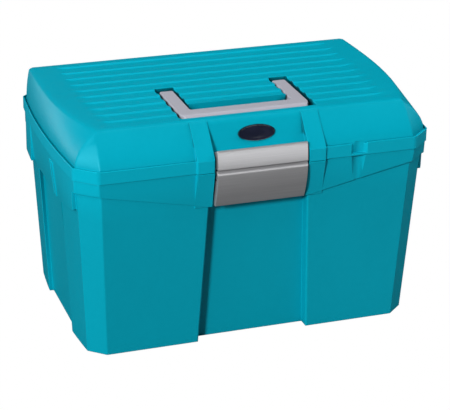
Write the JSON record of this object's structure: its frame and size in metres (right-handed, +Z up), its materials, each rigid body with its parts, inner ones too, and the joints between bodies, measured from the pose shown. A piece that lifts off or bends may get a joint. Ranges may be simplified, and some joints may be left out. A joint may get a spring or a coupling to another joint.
{
  "type": "grooming box",
  "caption": "Moulded storage box with a hinged ridged lid, folding carry handle sunk in the roof, wide snap latch and lift-out divided tray.",
  "frame": {"origin": "on the floor under the middle of the base's flat bottom", "axes": "+X along the box's length to its right end seen from the front, +Y from the latch towards the hinges, +Z up"},
  "size_m": [0.4, 0.2735, 0.247],
  "materials": {
    "body": "satin moulded",
    "grey_plastic": "satin moulded",
    "badge": "gloss",
    "tray": "satin moulded",
    "steel": "brushed"
  },
  "bodies": {
    "base": {"base_shell": "body", "hinge_pin_left": "steel", "hinge_pin_right": "steel"},
    "lid": {"lid_shell": "body", "latch_plate": "grey_plastic", "latch_pin": "steel", "latch_screws": "steel", "badge": "badge", "handle_pin_left": "steel", "handle_pin_right": "steel"},
    "handle": {"carry_handle": "grey_plastic"},
    "lever": {"latch_lever": "grey_plastic"},
    "tray": {"lift_out_tray": "tray", "tray_divider_front": "tray", "tray_divider_rear": "tray"}
  },
  "joints": [
    {"name": "lid_hinge", "type": "hinge", "parent": "base", "child": "lid", "pos_m": [0, 0.1344, 0.2], "axis": [-1, 0, 0], "range_deg": [0, 105]},
    {"name": "handle_swing", "type": "hinge", "parent": "lid", "child": "handle", "pos_m": [0, -0.012, 0.23975], "axis": [-1, 0, 0], "range_deg": [0, 90]},
    {"name": "latch_swing", "type": "hinge", "parent": "lid", "child": "lever", "pos_m": [0, -0.1286, 0.19725], "axis": [-1, 0, 0], "range_deg": [0, 95]},
    {"name": "tray_lift", "type": "slide", "parent": "base", "child": "tray", "axis": [0, 0, 1], "range_m": [0, 0.024]}
  ]
}
